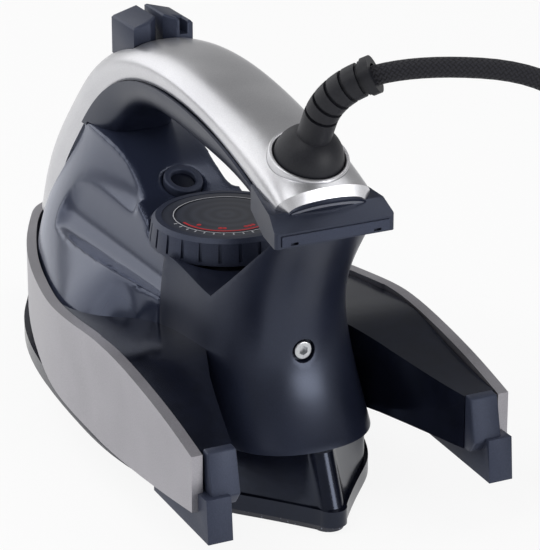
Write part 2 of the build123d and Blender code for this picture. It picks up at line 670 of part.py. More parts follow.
# Terminal block on the front wall of the housing
with BuildPart() as terminal_block:
    with Locations((TANK_REAR - HOUSING_WALL - 2 * SEAT, 0, 42)):
        Box(14, 26, 12, align=(Align.MAX, Align.CENTER, Align.MIN))
    with Locations(*[(TANK_REAR - HOUSING_WALL - 7, y, 54) for y in (-8, 0, 8)]):
        Cylinder(2.4, 12, mode=Mode.SUBTRACT)
save(terminal_block, "terminal_block")

# Wings: dark sloping blocks inside the panels, running back past the housing
with BuildPart() as left_wing:
    with BuildSketch(Plane.XY.offset(WING_FOOT)):
        Polygon((20, 30), (20, 70), (WING_REAR, 70), *WING_INNER[::-1], (-60, 24), align=None)
    extrude(amount=40)
    with BuildSketch(Plane.XZ):
        with BuildLine():
            top = Spline(*WING_TOP)
            Polyline(top @ 1, (WING_TOP[-1][0], WING_FOOT), (WING_TOP[0][0], WING_FOOT), top @ 0)
        make_face()
    extrude(amount=100, both=True, mode=Mode.INTERSECT)
    with BuildSketch():
        with BuildLine():
            inner = Spline(*panel_edge(PANEL_THICK + GAP), tangents=((-0.6, 1), (-1, 0)))
            Polyline(inner @ 1, (PANEL_REAR[0], 0), (PANEL_NOSE - 30, 0), inner @ 0)
        make_face()
    extrude(amount=100, mode=Mode.INTERSECT)
    add(tank_block(), mode=Mode.SUBTRACT)
    add(housing_block.part, mode=Mode.SUBTRACT)
save(left_wing, "left_wing")
right_wing = right_hand(left_wing)
save(right_wing, "right_wing")

# End caps behind the wings
with BuildPart() as left_end_cap:
    with BuildSketch(Plane.XZ.offset(-CAP_INNER)):
        Polygon(*CAP_SIDE, align=None)
    extrude(amount=CAP_INNER - CAP_OUTER)
    add(left_side_panel.part, mode=Mode.SUBTRACT)
save(left_end_cap, "left_end_cap")
right_end_cap = right_hand(left_end_cap)
save(right_end_cap, "right_end_cap")

# Heel feet: the iron rests on them when it stands on its end
with BuildPart() as left_heel_foot:
    with BuildSketch(Plane.XZ.offset(-FOOT_INNER)):
        Polygon(*FOOT_SIDE, align=None)
    extrude(amount=FOOT_INNER - FOOT_OUTER)
    for neighbour in (left_side_panel, left_wing, left_end_cap):
        add(neighbour.part, mode=Mode.SUBTRACT)
save(left_heel_foot, "left_heel_foot")
right_heel_foot = right_hand(left_heel_foot)
save(right_heel_foot, "right_heel_foot")

# Handle shell: the silver arch with its cut-outs
button_middle = (BUTTON_X[0] + BUTTON_X[1]) / 2
button_long = BUTTON_X[1] - BUTTON_X[0] + 2 * BUTTON_ROOM
button_wide = 2 * (BUTTON_Y[1] + BUTTON_ROOM)
swivel_axis = (-sin(radians(SWIVEL_TILT)), 0, cos(radians(SWIVEL_TILT)))
swivel_plane = Plane(origin=BALL, x_dir=(0, 1, 0), z_dir=swivel_axis)
lug_x = BARREL_LONG / 2 + LID_GAP + LUG_LONG / 2
with BuildPart() as lid_prism:
    with BuildSketch(lid_plane.offset(-14)):
        RectangleRounded(LID_WIDE, LID_LONG, 6)
    extrude(amount=28)
with BuildPart() as handle_shell:
    add(shell_block.part)
    with Locations((button_middle, 0, BUTTON_FOOT)):
        Box(button_long, button_wide, 60, mode=Mode.SUBTRACT)
    add(lid_prism.part, mode=Mode.SUBTRACT)
    with Locations(nozzle_plane):
        Cylinder(NOZZLE_RADIUS + SEAT, 16, mode=Mode.SUBTRACT)
    with Locations(swivel_plane):
        Sphere(BALL_RADIUS + GAP, mode=Mode.SUBTRACT)
    with Locations(swivel_plane.offset(-COLLAR_DEPTH)):
        Cylinder(BALL_RADIUS + COLLAR_WALL + SEAT, 30, align=UPWARDS,
                 mode=Mode.SUBTRACT)
    with Locations(lid_plane):
        with Locations((lug_x, HINGE_Y, HINGE_Z), (-lug_x, HINGE_Y, HINGE_Z)):
            Cylinder(HINGE_RADIUS, LUG_LONG, rotation=(0, 90, 0))
        with Locations((lug_x, HINGE_Y - 0.1, HINGE_Z), (-lug_x, HINGE_Y - 0.1, HINGE_Z)):
            Box(LUG_LONG, HINGE_RADIUS - 0.1, 4.5, align=(Align.CENTER, Align.MAX, Align.MAX))
        with Locations((0, HINGE_Y, HINGE_Z)):
            Cylinder(PIN + SEAT / 2, 30, rotation=(0, 90, 0), mode=Mode.SUBTRACT)
    rear_face = handle_shell.faces().filter_by(GeomType.PLANE).sort_by(Axis.X)[0]
    chamfer(rear_face.edges().sort_by(SortBy.LENGTH)[-1], length=SHELL_FLANGE)
save(handle_shell, "handle_shell")

# Heel plate behind the handle, with the recess for its pad
with BuildPart() as heel_plate:
    with BuildSketch(Plane.XZ):
        Polygon(*PLATE_SIDE, align=None)
    extrude(amount=PLATE_REAR_HALF, both=True)
    with BuildSketch(Plane.XY.offset(100)):
        rear = PLATE_SIDE[0][0]
        front = PLATE_SIDE[3][0]
        Polygon((rear, PLATE_REAR_HALF), (front, PLATE_FRONT_HALF), (front, -PLATE_FRONT_HALF),
                (rear, -PLATE_REAR_HALF), align=None)
    extrude(amount=40, mode=Mode.INTERSECT)
    fillet(heel_plate.edges().filter_by(lambda edge: abs((edge @ 0.5).Y) > PLATE_REAR_HALF - 0.5), radius=1.2)
    with Locations((rear, 0, (PAD_Z[0] + PAD_Z[1]) / 2)):
        Box(2 * PAD_DEPTH, 2 * PAD_HALF, PAD_Z[1] - PAD_Z[0], mode=Mode.SUBTRACT)
    add(handle_shell.part, mode=Mode.SUBTRACT)
    with Locations(swivel_plane):
        Sphere(BALL_RADIUS + GAP, mode=Mode.SUBTRACT)
save(heel_plate, "heel_plate")

# Heel pad in that recess, with two notches in its foot
with BuildPart() as heel_pad:
    with Locations((rear + PAD_DEPTH - SEAT, 0, (PAD_Z[0] + PAD_Z[1]) / 2)):
        Box(PAD_DEPTH + 0.5, 2 * (PAD_HALF - SEAT), PAD_Z[1] - PAD_Z[0] - 2 * SEAT,
            align=(Align.MAX, Align.CENTER, Align.CENTER))
    with Locations(*[(rear, y, PAD_Z[0]) for y in (PAD_HALF - 5, 5 - PAD_HALF)]):
        Box(6, 3, 2.4, mode=Mode.SUBTRACT)
save(heel_pad, "heel_pad")

# Handle underside: the dark inner half of the grip, down to the tank
with BuildPart() as handle_underside:
    loft(sections=[core_face(station) for station in ARCH[3:]])
    split(bisect_by=Plane.XY.offset(TANK_TOP + GAP), keep=Keep.TOP)
    with Locations((button_middle, 0, BUTTON_FOOT - BUTTON_TRAVEL - 0.5)):
        Box(button_long, button_wide, 60, align=UPWARDS, mode=Mode.SUBTRACT)
    with Locations(*[(PUMP_AT[0], side * PUMP_AT[1], PUMP_FOOT) for side in (1, -1)]):
        Cylinder(PUMP_RADIUS + SEAT, 20, align=UPWARDS, mode=Mode.SUBTRACT)
    with Locations(swivel_plane):
        Sphere(BALL_RADIUS + GAP, mode=Mode.SUBTRACT)
    with Locations(swivel_plane.offset(-COLLAR_DEPTH)):
        Cylinder(BALL_RADIUS + COLLAR_WALL + SEAT, 30, align=UPWARDS,
                 mode=Mode.SUBTRACT)
    add(lid_prism.part, mode=Mode.SUBTRACT)
    add(handle_shell.part, mode=Mode.SUBTRACT)
    add(heel_plate.part, mode=Mode.SUBTRACT)
    add(housing_block.part, mode=Mode.SUBTRACT)
    add(tank_block(), mode=Mode.SUBTRACT)
save(handle_underside, "handle_underside")

# Temperature dial: a grip with notches round its skirt, a face let into its top, a spindle below
dial_axis = Axis((DIAL_X, 0, 0), (0, 0, 1))
with BuildPart() as temperature_dial:
    with BuildSketch(Plane.XZ):
        Polygon(
            (DIAL_X, DIAL_FOOT), (DIAL_X + DIAL_RADIUS, DIAL_FOOT), (DIAL_X + DIAL_RADIUS, DIAL_FOOT + 2),
            (DIAL_X + DIAL_RIM + 0.9, DIAL_TOP - 1.6), (DIAL_X + DIAL_RIM - 0.6, DIAL_TOP),
            (DIAL_X + DIAL_FACE, DIAL_TOP), (DIAL_X + DIAL_FACE, DIAL_TOP - FACE_SINK),
            (DIAL_X, DIAL_TOP - FACE_SINK),
            align=None,
        )
    revolve(axis=dial_axis)
    with Locations((DIAL_X, 0, DIAL_FOOT + 1.2)):
        with PolarLocations(DIAL_RADIUS, DIAL_GRIPS):
            Box(2.4, 1.4, 7.4, align=UPWARDS, mode=Mode.SUBTRACT)
    with Locations((DIAL_X, 0, DIAL_FOOT)):
        Cylinder(SPINDLE_RADIUS + SEAT, 14, mode=Mode.SUBTRACT)
save(temperature_dial, "temperature_dial")
with BuildPart() as dial_face:
    with Locations((DIAL_X, 0, DIAL_TOP - FACE_SINK)):
        Cylinder(DIAL_FACE - SEAT, FACE_THICK, align=UPWARDS)
    with BuildSketch(Plane.XY.offset(DIAL_TOP - FACE_SINK + FACE_THICK)):
        with Locations((DIAL_X, 0)):
            Circle(FACE_RING + 0.8)
            Circle(FACE_RING, mode=Mode.SUBTRACT)
    extrude(amount=-0.4, mode=Mode.SUBTRACT)
save(dial_face, "dial_face")
with BuildPart() as dial_spindle:
    spindle_foot = CASTING_TOP + 6
    with Locations((DIAL_X, 0, spindle_foot)):
        Cylinder(SPINDLE_RADIUS, DIAL_FOOT + 6.8 - spindle_foot, align=UPWARDS)
save(dial_spindle, "dial_spindle")

# Filler lid: the piece of shell over the filler mouth, hinged along its lower edge
with BuildPart() as filler_lid:
    add(shell_block.part)
    with BuildSketch(lid_plane.offset(-14)):
        RectangleRounded(LID_WIDE - 2 * LID_GAP, LID_LONG - 2 * LID_GAP, 6 - LID_GAP)
    extrude(amount=28, mode=Mode.INTERSECT)
    with Locations(lid_plane):
        with Locations((0, HINGE_Y, HINGE_Z)):
            Cylinder(HINGE_RADIUS, BARREL_LONG, rotation=(0, 90, 0))
            Box(BARREL_LONG, 3, 3.4, align=(Align.CENTER, Align.MIN, Align.MAX))
            Cylinder(PIN + 0.2, 30, rotation=(0, 90, 0), mode=Mode.SUBTRACT)
save(filler_lid, "filler_lid")
with BuildPart() as hinge_pin:
    with Locations(lid_plane):
        with Locations((0, HINGE_Y, HINGE_Z)):
            Cylinder(PIN, 2 * (lug_x + LUG_LONG / 2), rotation=(0, 90, 0))
save(hinge_pin, "hinge_pin")

# Spray nozzle in the prow
with BuildPart() as spray_nozzle:
    with Locations(nozzle_plane):
        Cylinder(NOZZLE_RADIUS, 7, align=DOWNWARDS)
        Cone(NOZZLE_RADIUS, 2.2, 2.0, align=UPWARDS)
        Cylinder(0.6, 30, mode=Mode.SUBTRACT)
save(spray_nozzle, "spray_nozzle")

# Buttons on the handle, each with a plunger that runs in its pump
for side, name in ((1, "steam"), (-1, "spray")):
    inner_y = side * BUTTON_Y[0]
    outer_y = side * BUTTON_Y[1]
    with BuildPart() as button:
        with BuildSketch(Plane.YZ.offset(BUTTON_X[0])):
            Polygon(
                (inner_y, BUTTON_FOOT), (outer_y, BUTTON_FOOT), (outer_y, BUTTON_SIDE), (inner_y, BUTTON_TOP),
                align=None,
            )
        extrude(amount=BUTTON_X[1] - BUTTON_X[0])
        with BuildSketch(Plane.XY.offset(BUTTON_FOOT + 8)):
            Polygon((BUTTON_X[0] - 1, inner_y - side), (BUTTON_X[0] + 5, inner_y - side),
                    (BUTTON_X[0] - 1, inner_y + 5 * side), align=None)
        extrude(amount=30, mode=Mode.SUBTRACT)
        if side < 0:
            with Locations((BUTTON_X[0], -8.6, BUTTON_TOP)):
                Box(12, 3.4, 16, mode=Mode.SUBTRACT)
        chamfer(button.faces().sort_by(Axis.Z)[-1].edges(), length=0.7)
    save(button, f"{name}_button")
    with BuildPart() as plunger:
        with Locations((PUMP_AT[0], side * PUMP_AT[1], BUTTON_FOOT)):
            Cylinder(PLUNGER_RADIUS, 8.6, align=DOWNWARDS)
    save(plunger, f"{name}_plunger")
    with BuildPart() as pump:
        with Locations((PUMP_AT[0], side * PUMP_AT[1], PUMP_FOOT)):
            Cylinder(PUMP_RADIUS, 10.4, align=UPWARDS)
        with Locations((PUMP_AT[0], side * PUMP_AT[1], PUMP_FOOT + 1.5)):
            Cylinder(PLUNGER_RADIUS + GAP, 20, align=UPWARDS, mode=Mode.SUBTRACT)
    save(pump, f"{name}_pump")

# Self-clean button in its collar, with a rod down to the drip valve
with BuildPart() as self_clean_collar:
    with Locations(clean_plane.offset(SEAT - CLEAN_SINK)):
        Cylinder(CLEAN_COLLAR, 7.6, align=UPWARDS)
        Cylinder(CLEAN_RADIUS + GAP, 20, mode=Mode.SUBTRACT)
    fillet(self_clean_collar.edges().filter_by(GeomType.CIRCLE).sort_by(Axis.Z)[-2:], radius=0.8)
save(self_clean_collar, "self_clean_collar")
with BuildPart() as self_clean_button:
    with Locations(clean_plane.offset(-3.0)):
        Cylinder(CLEAN_RADIUS, 2.8, align=UPWARDS)
save(self_clean_button, "self_clean_button")
with BuildPart() as self_clean_rod:
    with Locations(clean_plane.offset(-3.0)):
        Cylinder(ROD_RADIUS, CLEAN_ROD, align=DOWNWARDS)
save(self_clean_rod, "self_clean_rod")
with BuildPart() as drip_valve:
    with Locations((*VALVE_AT, TANK_FOOT + TANK_WALL + SEAT)):
        Cylinder(VALVE_RADIUS, 8.0, align=UPWARDS)
    with Locations((*VALVE_AT, TANK_FOOT + TANK_WALL + 2.0)):
        Cylinder(VALVE_RADIUS - 1.8, 20, align=UPWARDS, mode=Mode.SUBTRACT)
    with Locations((*VALVE_AT, TANK_FOOT)):
        Cylinder(1.2, 20, mode=Mode.SUBTRACT)
save(drip_valve, "drip_valve")

# Silver collar round the cord swivel
with BuildPart() as swivel_collar:
    with Locations(swivel_plane.offset(SEAT - COLLAR_DEPTH)):
        Cylinder(BALL_RADIUS + COLLAR_WALL, COLLAR_DEPTH + 2.0, align=UPWARDS)
        Cylinder(BALL_RADIUS + GAP, 40, mode=Mode.SUBTRACT)
    fillet(swivel_collar.edges().filter_by(GeomType.CIRCLE).sort_by(Axis.Z)[-2:], radius=0.6)
save(swivel_collar, "swivel_collar")

# Cord guard: a ball that turns in the collar, a neck, and a ribbed sleeve bent towards the cord
with BuildPart() as cord_guard:
    with Locations(swivel_plane):
        Sphere(BALL_RADIUS)
    split(bisect_by=swivel_plane.offset(-7), keep=Keep.TOP)
    with BuildLine() as guard_line:
        FilletPolyline(*GUARD_ROUTE, radius=GUARD_BEND)
    guard_path = guard_line.line
    with BuildSketch(Plane(origin=guard_path @ 0, z_dir=guard_path % 0)):
        Circle(GUARD_RADIUS)
    sweep(path=guard_path)
    mouth = Plane(origin=guard_path @ 1, z_dir=guard_path % 1)
    with Locations(mouth):
        Cylinder(GUARD_RADIUS + 0.7, 3.0, align=DOWNWARDS)
    for number in range(GUARD_RIBS):
        share = 0.34 + 0.54 * number / (GUARD_RIBS - 1)
        with BuildSketch(Plane(origin=guard_path @ share, z_dir=guard_path % share)):
            Circle(GUARD_RADIUS + 2)
            Circle(GUARD_RADIUS - 1.1, mode=Mode.SUBTRACT)
        extrude(amount=0.7, both=True, mode=Mode.SUBTRACT)
    with Locations(mouth):
        Cylinder(CORD_D / 2 + 0.35, 8.0, align=DOWNWARDS, mode=Mode.SUBTRACT)
save(cord_guard, "cord_guard")

# Free stretch of the cord, from the guard to the coil
route = [Vector(*point) for point in CORD_ROUTE]
radii = []
for before, here, after in zip(route, route[1:], route[2:]):
    turn = (here - before).get_angle(after - here)
    shorter = min((here - before).length, (after - here).length)
    radii.append(0.45 * shorter / tan(radians(turn / 2)))
with BuildPart() as power_cord:
    with BuildLine() as cord_line:
        FilletPolyline(*CORD_ROUTE, radius=radii)
    cord_path = cord_line.wires()[0]
    with BuildSketch(Plane(origin=cord_path @ 0, z_dir=cord_path % 0)):
        Circle(CORD_D / 2)
    sweep(path=cord_path)
save(power_cord, "power_cord")

# Coil: in, down a layer, out, down a layer, and so on, with a tail up to the plug
first_way = Vector(0, -1, 0)
coil_start = route[-1] + first_way * CORD_D
coil_middle = Vector(coil_start.X, coil_start.Y, 0)
coil_middle -= Vector(cos(COIL_TURN), sin(COIL_TURN), 0) * COIL_RADIUS
last = COIL_LAYERS * LAYER_QUARTERS + (COIL_LAYERS - 1) * CLIMB_QUARTERS - END_QUARTERS
counts = [*range(int(last) + 1), last]
knots = [coil_point(coil_middle, count) for count in counts]
ways = [coil_way(coil_middle, count) for count in counts]
last_way = Vector(ways[-1].X, ways[-1].Y, 0).normalized()
ways = [first_way, *ways[1:-1], last_way]
lift = knots[-1] + last_way * TAIL_FLAT
tail = knots[-1] + last_way * TAIL_RUN
tail = Vector(tail.X, tail.Y, PLUG_Z)
plug_end = tail + last_way * CORD_D
with BuildPart() as cord_coil:
    with BuildLine() as coil_line:
        Line(route[-1], coil_start)
        for start, start_way, end, end_way in zip(knots, ways, knots[1:], ways[1:]):
            biarc(start, start_way, end, end_way)
        Line(knots[-1], lift)
        biarc(lift, last_way, tail, last_way)
        Line(tail, plug_end)
    coil_path = coil_line.wires()[0]
    with BuildSketch(Plane(origin=route[-1], z_dir=first_way)):
        Circle(CORD_D / 2)
    sweep(path=coil_path)
save(cord_coil, "cord_coil")

# Tie round the coil
tie_way = Vector(cos(radians(TIE_ANGLE)), sin(radians(TIE_ANGLE)), 0)
tie_plane = Plane(origin=coil_middle, x_dir=tie_way, z_dir=(tie_way.Y, -tie_way.X, 0))
coil_inner = COIL_RADIUS - COIL_PITCH * LAYER_QUARTERS / 4
tie_middle = ((COIL_RADIUS + coil_inner) / 2, COIL_FLOOR + COIL_PITCH * (COIL_LAYERS - 1) / 2)
tie_across = COIL_RADIUS - coil_inner + CORD_D + COIL_PITCH
tie_high = COIL_PITCH * (COIL_LAYERS - 1) + CORD_D + TIE_SPARE
with BuildPart() as cord_tie:
    with BuildSketch(tie_plane):
        with Locations(tie_middle):
            RectangleRounded(tie_across + 2 * TIE_THICK, tie_high + 2 * TIE_THICK, TIE_CORNER + TIE_THICK)
            RectangleRounded(tie_across, tie_high, TIE_CORNER, mode=Mode.SUBTRACT)
    extrude(amount=TIE_WIDE / 2, both=True)
save(cord_tie, "cord_tie")

# Plug with two round pins
plug_plane = Plane(origin=plug_end, x_dir=(last_way.Y, -last_way.X, 0), z_dir=last_way)
with BuildPart() as plug_body:
    with BuildSketch(plug_plane):
        Circle(6.0)
    with BuildSketch(plug_plane.offset(PLUG_NECK)):
        Circle(8.5)
    loft()
    with BuildSketch(plug_plane.offset(PLUG_NECK)):
        RectangleRounded(20, 18, 8)
    with BuildSketch(plug_plane.offset(PLUG_SHOULDER)):
        RectangleRounded(PLUG_WIDE, 2 * PLUG_HALF, 9)
    loft()
    with BuildSketch(plug_plane.offset(PLUG_SHOULDER)):
        RectangleRounded(PLUG_WIDE, 2 * PLUG_HALF, 9)
    extrude(amount=PLUG_LONG - PLUG_SHOULDER)
save(plug_body, "plug_body")
with BuildPart() as plug_pins:
    with Locations(plug_plane.offset(PLUG_LONG)):
        with Locations((PIN_APART / 2, 0), (-PIN_APART / 2, 0)):
            Cylinder(PIN_RADIUS, PIN_LONG, align=UPWARDS)
    fillet(plug_pins.edges().filter_by(GeomType.CIRCLE).sort_by(Axis(plug_end, last_way))[-2:], radius=1.0)
save(plug_pins, "plug_pins")
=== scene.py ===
import json
from math import atan2, cos, pi, radians, sin, tau

import bpy
import numpy as np
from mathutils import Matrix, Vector


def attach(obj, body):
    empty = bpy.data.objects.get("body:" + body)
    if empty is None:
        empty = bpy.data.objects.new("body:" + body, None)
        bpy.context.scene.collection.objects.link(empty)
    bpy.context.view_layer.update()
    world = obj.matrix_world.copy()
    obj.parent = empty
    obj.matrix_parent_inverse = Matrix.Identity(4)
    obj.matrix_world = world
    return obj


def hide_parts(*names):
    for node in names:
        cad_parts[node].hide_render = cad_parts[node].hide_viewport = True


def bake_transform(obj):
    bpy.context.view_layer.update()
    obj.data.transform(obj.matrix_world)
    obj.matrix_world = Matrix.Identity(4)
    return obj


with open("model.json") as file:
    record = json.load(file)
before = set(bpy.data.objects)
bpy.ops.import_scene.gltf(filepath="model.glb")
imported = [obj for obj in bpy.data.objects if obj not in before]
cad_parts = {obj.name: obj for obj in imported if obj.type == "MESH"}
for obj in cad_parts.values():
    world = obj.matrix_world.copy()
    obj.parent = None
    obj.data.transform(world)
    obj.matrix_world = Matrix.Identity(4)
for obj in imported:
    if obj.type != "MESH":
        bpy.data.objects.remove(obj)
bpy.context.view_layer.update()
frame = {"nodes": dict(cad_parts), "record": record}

scene = bpy.context.scene
scene.view_settings.view_transform = "Standard"

# Camera, in metres: behind the iron and to its left, a little above it, through a long lens
CAMERA_TARGET = Vector((-0.07445, 0.0, 0.08212))
CAMERA_TURN = radians(26.49)
CAMERA_RISE = radians(21.23)
CAMERA_DISTANCE = 1.1061
CAMERA_LENS = 194.83

# Power cord, in metres: the route's corners from the guard down to the coil, the coil's rule and the tail
# that rises from the lowest layer into the plug
CORD_D = 0.0073
CORD_ROUTE = [
    (-0.1260, -0.0076, 0.1708),
    (-0.1354, -0.0203, 0.1783),
    (-0.1610, -0.0700, 0.1750),
    (-0.1760, -0.0860, 0.1430),
    (-0.1830, -0.0800, 0.1100),
    (-0.1855, -0.0750, 0.0780),
    (-0.1860, -0.0790, 0.0480),
    (-0.1860, -0.1015, 0.0285),
    (-0.1860, -0.1300, 0.0285),
]
COIL_RADIUS = 0.044
COIL_PITCH = 0.0079
COIL_LAYERS = 4
COIL_LOWEST = 0.0048
LAYER_QUARTERS = 5  # quarter turns in a layer
CLIMB_QUARTERS = 2  # quarter turns from a layer down to the next
END_QUARTERS = 0.9  # quarter turns that the last layer lacks
COIL_STEPS = 4  # spline corners per quarter turn
TAIL_FLAT = 0.020  # at the lowest layer's height
TAIL_RUN = 0.050  # to where the tail is level with the plug
TAIL_EASE = 0.0075  # bend at either end of its rise
PLUG_SEAT = 0.003  # depth inside the plug
PLUG_Z = 0.0128
LINE_STEPS = 10  # points per spline corner
TUBE_SIDES = 20
FREE_LENGTH = 0.26  # from the guard to the coil
LEAN_RUN = 0.04  # stretch over which the tube's zero angle turns
BRAID_STRANDS = 12
BRAID_RELIEF = 0.0004

# Strap round the coil, in metres: a woven band that stands square to the turns
TIE_ANGLE = radians(330)
TIE_WIDE = 0.012
TIE_THICK = 0.0008
TIE_SPARE = 0.0006
TIE_CORNER = 0.003
TIE_STEPS = 64
TIE_SQUARE = 0.4  # how square the section's ends are: 1 is an ellipse
WEAVE_PITCH = 0.0009

# Dial print, in metres and degrees: rings and arcs go from an inner to an outer radius
DIAL_X = -0.037
FACE_Z = 0.0938
INK_SINK = 0.00005
INK_RISE = 0.00008
INK_STEPS = 48
SCALE_RING = (0.0200, 0.0203)
SCALE_ARC = (0.0176, 0.0185)
SCALE_SPAN = (92, 212)
TICK_RING = (0.0208, 0.0222)
TICK_STEP = 10
TICK_HALF = 0.7
DOT_ANGLES = (112, 146, 152, 184, 190, 196)
DOT_CIRCLE = 0.0152
DOT_RADIUS = 0.0009

# Patterns, in metres: the turned rings are drawn wider than a tool leaves them, so that they show
CLOUD_SIZE = 0.03
CLOUD_SPAN = (0.3, 0.7)  # values of the clouds from the glossiest to the dullest place
GRAIN_SPAN = (0.7, 1.3)  # values of grains and clouds together from the darkest to the lightest place
ROUGH_DRIFT = 0.04
FLOW_SIZE = 0.05
FLOW_ROUGH = (0.18, 0.26)
RING_PITCH = 0.00503
RING_RELIEF = 0.00003
RING_TURNS = 20  # radians of a wave texture's rings per unit
SPECK_PITCH = 0.0016
SPECK_EDGE = (0.12, 0.22)  # from a speck's middle, as shares of the pitch

# Tint of the shine on the navy plastics: their skin mirrors the room a little bluer than it is
NAVY_SHEEN = "#D8E3FF"

# Nodes of a slot's plastic with another finish than the rest: a blasted tool, or a polished one
SATIN_NODES = ("rear_housing", "heel_plate", "handle_underside")
GLOSS_NODES = ("self_clean_button",)

# Nodes moulded with soft edges: their surface is cast again on a grid of this size in metres, and smoothed
SOFT_NODES = {"water_tank": 0.0011}
SOFT_ROUNDS = 8

# Nodes with a small round on each sharp edge, in metres
EDGE_ROUNDS = {
    "rear_housing": 0.0012,
    "left_wing": 0.0008, "right_wing": 0.0008,
    "left_side_panel": 0.0005, "right_side_panel": 0.0005,
    "left_end_cap": 0.0007, "right_end_cap": 0.0007,
    "left_heel_foot": 0.0007, "right_heel_foot": 0.0007,
    "heel_plate": 0.0006, "steam_button": 0.0006, "spray_button": 0.0006,
}
EDGE_STEPS = 3

# Creases of the shading: edges that turn by more than this stay sharp
CREASE = radians(32)
MERGE_DISTANCE = 0.00001

# Studio, in metres and watts: the floor, the lamps as name, place, width and power, and the light from all
# round, which is stronger from low down than from overhead
FLOOR_HALF = 4.0
FLOOR_GLOW = 0.9  # share of plain white that the camera sees
FLOOR_MIRROR = 0.6  # the same share in reflections
LAMPS = [
    ("front_lamp", (1.1, 0.5, 0.88), 1.6, 7.0),
    ("left_lamp", (0.3, 1.3, 0.7), 1.0, 3.0),
    ("upper_lamp", (-0.25, 0.62, 1.35), 1.1, 6.0),
    ("right_lamp", (-1.35, -0.65, 0.32), 0.7, 7.0),
    ("over_lamp", (-0.15, -0.6, 1.4), 0.9, 3.0),
]
WORLD_LOW = 0.42
WORLD_HIGH = 0.12


def linear(code, alpha=1.0):
    """An sRGB hex colour as the linear numbers that a shader socket takes."""
    share = np.array([int(code[i:i + 2], 16) for i in (1, 3, 5)]) / 255
    curve = np.where(share <= 0.04045, share / 12.92, ((share + 0.055) / 1.055) ** 2.4)
    return (*curve, alpha)


def add(tree, kind, sockets=None, **settings):
    """Adds a node: settings go on the node, and each socket takes a value or the output that feeds it."""
    made = tree.nodes.new(kind)
    for name, value in settings.items():
        setattr(made, name, value)
    for key, value in (sockets or {}).items():
        if isinstance(value, bpy.types.NodeSocket):
            tree.links.new(value, made.inputs[key])
        else:
            made.inputs[key].default_value = value
    return made


def new_material(name, **values):
    """A material with one principled shader, whose constant sockets are set from values."""
    material = bpy.data.materials.new(name)
    material.use_nodes = True
    shader = material.node_tree.nodes["Principled BSDF"]
    for key, value in values.items():
        shader.inputs[key.replace("_", " ").title().replace("Ior", "IOR")].default_value = value
    return material, material.node_tree, shader


def cells(at):
    """The four corners of every cell of a grid of numbers, rows by columns, in order round the cell."""
    corners = (at[..., :-1, :-1], at[..., :-1, 1:], at[..., 1:, 1:], at[..., 1:, :-1])
    return np.stack(corners, axis=-1).reshape(-1, 4)


def grid_mesh(name, points, uv=None, closed=True, smooth=True):
    """A mesh of quads over one grid of points, rows by columns, or over several grids with the same rows and
    columns; closed joins the last column to the first."""
    at = np.arange(points.size // 3).reshape(points.shape[:-1])
    if closed:
        at = np.concatenate([at, at[..., :1]], axis=-1)
    mesh = bpy.data.meshes.new(name)
    mesh.from_pydata(points.reshape(-1, 3), [], cells(at))
    if uv is not None:
        uv_at = np.arange(uv.size // 2).reshape(uv.shape[:-1])
        mesh.uv_layers.new(name="along").data.foreach_set("uv", uv.reshape(-1, 2)[cells(uv_at)].ravel())
    if smooth:
        mesh.shade_smooth()
    return mesh


def new_piece(name, mesh, material):
    """An object at the origin that shows this mesh in this material."""
    piece = bpy.data.objects.new(name, mesh)
    scene.collection.objects.link(piece)
    mesh.materials.append(material)
    return piece


# Camera
back = Vector((
    -cos(CAMERA_TURN) * cos(CAMERA_RISE),
    sin(CAMERA_TURN) * cos(CAMERA_RISE),
    sin(CAMERA_RISE),
))
camera = bpy.data.objects.new("camera", bpy.data.cameras.new("camera"))
camera.location = CAMERA_TARGET + back * CAMERA_DISTANCE
camera.rotation_euler = (-back).to_track_quat("-Z", "Y").to_euler()
camera.data.lens = CAMERA_LENS
scene.collection.objects.link(camera)
scene.camera = camera


# Materials
def braid_material():
    """Textile braid over the lead: dyed black yarn whose strands pass over and under each other,
    so that it reads as a fine diamond weave. Its colour carries painted shade where the strands dip and a
    painted highlight on each crown, on top of the shader's own faint sheen."""
    material, tree, shader = new_material(
        "braided_black_yarn", roughness=0.62, sheen_weight=0.08, sheen_roughness=0.45,
        specular_ior_level=0.25)
    uv = add(tree, "ShaderNodeUVMap", uv_map="along")
    parts = add(tree, "ShaderNodeSeparateXYZ", {0: uv.outputs[0]})
    leans = []
    for lean in ("ADD", "SUBTRACT"):
        turn = add(tree, "ShaderNodeMath", {0: parts.outputs[0], 1: parts.outputs[1]}, operation=lean)
        leans.append(add(
            tree, "ShaderNodeMath", {0: turn.outputs[0], 1: float(BRAID_STRANDS)}, operation="MULTIPLY"))
    crowns = []
    for strand in leans:
        wave = add(tree, "ShaderNodeMath", {0: strand.outputs[0], 1: pi}, operation="MULTIPLY")
        wave = add(tree, "ShaderNodeMath", {0: wave.outputs[0]}, operation="SINE")
        crowns.append(add(tree, "ShaderNodeMath", {0: wave.outputs[0]}, operation="ABSOLUTE"))
    counts = [add(tree, "ShaderNodeMath", {0: strand.outputs[0]}, operation="FLOOR") for strand in leans]
    crossing = add(tree, "ShaderNodeMath", {
        0: counts[0].outputs[0], 1: counts[1].outputs[0]}, operation="ADD")
    over = add(tree, "ShaderNodeMath", {0: crossing.outputs[0], 1: 2.0}, operation="FLOORED_MODULO")
    height = add(tree, "ShaderNodeMix", {
        "Factor": over.outputs[0], "A": crowns[0].outputs[0], "B": crowns[1].outputs[0]})
    # Painted shade and highlight: the yarn's colour runs from near black where the strands dip under to grey
    # on their crowns
    yarn_with_painted_light = add(tree, "ShaderNodeMix", {
        "Factor": height.outputs[0], "A": linear("#0A0A0D"), "B": linear("#2C2C33")}, data_type="RGBA")
    bump = add(tree, "ShaderNodeBump", {
        "Strength": 0.6, "Distance": BRAID_RELIEF, "Height": height.outputs[0]})
    tree.links.new(yarn_with_painted_light.outputs["Result"], shader.inputs["Base Color"])
    tree.links.new(bump.outputs[0], shader.inputs["Normal"])
    return material


